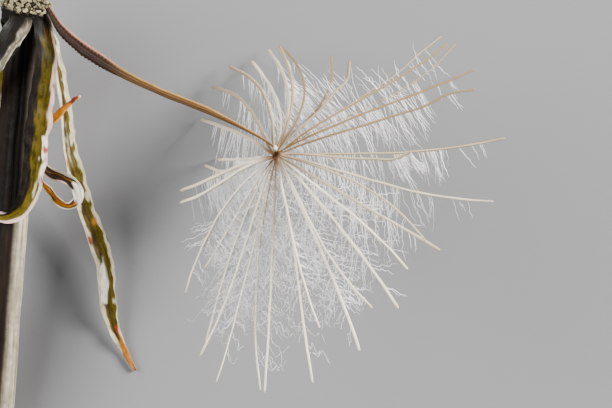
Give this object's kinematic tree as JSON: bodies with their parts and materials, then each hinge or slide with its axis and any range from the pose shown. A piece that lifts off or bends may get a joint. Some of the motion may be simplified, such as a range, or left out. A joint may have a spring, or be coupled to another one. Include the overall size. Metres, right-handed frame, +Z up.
{
  "type": "dandelion seed head",
  "caption": "Spent goat's-beard (giant dandelion) seed head on a cut stem, lying down, with withered bracts and one last seed whose beak carries a wide feathery umbrella.",
  "frame": {"origin": "under the middle of the object's box, on the surface that it lies on", "axes": "+Z up from the surface, and the shortest extent; +Y towards the knob end of the stem; +X towards the umbrella of the seed, and the longest extent"},
  "size_m": [0.0646, 0.0488, 0.037],
  "materials": {
    "stem": "dry, finely grooved brown stalk with a pale edge",
    "receptacle": "pale cream-grey, knobbly and pitted, dry",
    "bract": "withered, papery, olive-brown with pale margins and rusty spots",
    "seed": "dull brown, ribbed and finely toothed, with a smoother golden-brown beak",
    "collar": "dark brown, matt",
    "ray": "cream to golden-brown bristles with fine translucent white hairs"
  },
  "bodies": {
    "root": {"stem": "stem", "receptacle": "receptacle", "bract_front": "bract", "bract_long": "bract", "bract_left": "bract", "bract_spike": "bract", "bract_loop": "bract", "bract_far_left": "bract", "bract_under_left": "bract", "bract_under_right": "bract", "achene": "seed", "pappus_collar": "collar", "ray_01": "ray", "ray_02": "ray", "ray_03": "ray", "ray_04": "ray", "ray_05": "ray", "ray_06": "ray", "ray_07": "ray", "ray_08": "ray", "ray_09": "ray", "ray_10": "ray", "ray_11": "ray", "ray_12": "ray", "ray_13": "ray", "ray_14": "ray", "ray_15": "ray", "ray_16": "ray", "ray_17": "ray", "ray_18": "ray", "ray_19": "ray", "ray_20": "ray", "ray_21": "ray", "ray_22": "ray", "ray_23": "ray", "ray_24": "ray", "ray_25": "ray", "ray_26": "ray", "ray_27": "ray", "ray_28": "ray", "ray_29": "ray", "ray_30": "ray", "ray_31": "ray", "ray_32": "ray", "ray_33": "ray", "ray_34": "ray", "ray_35": "ray", "ray_36": "ray"}
  },
  "joints": []
}
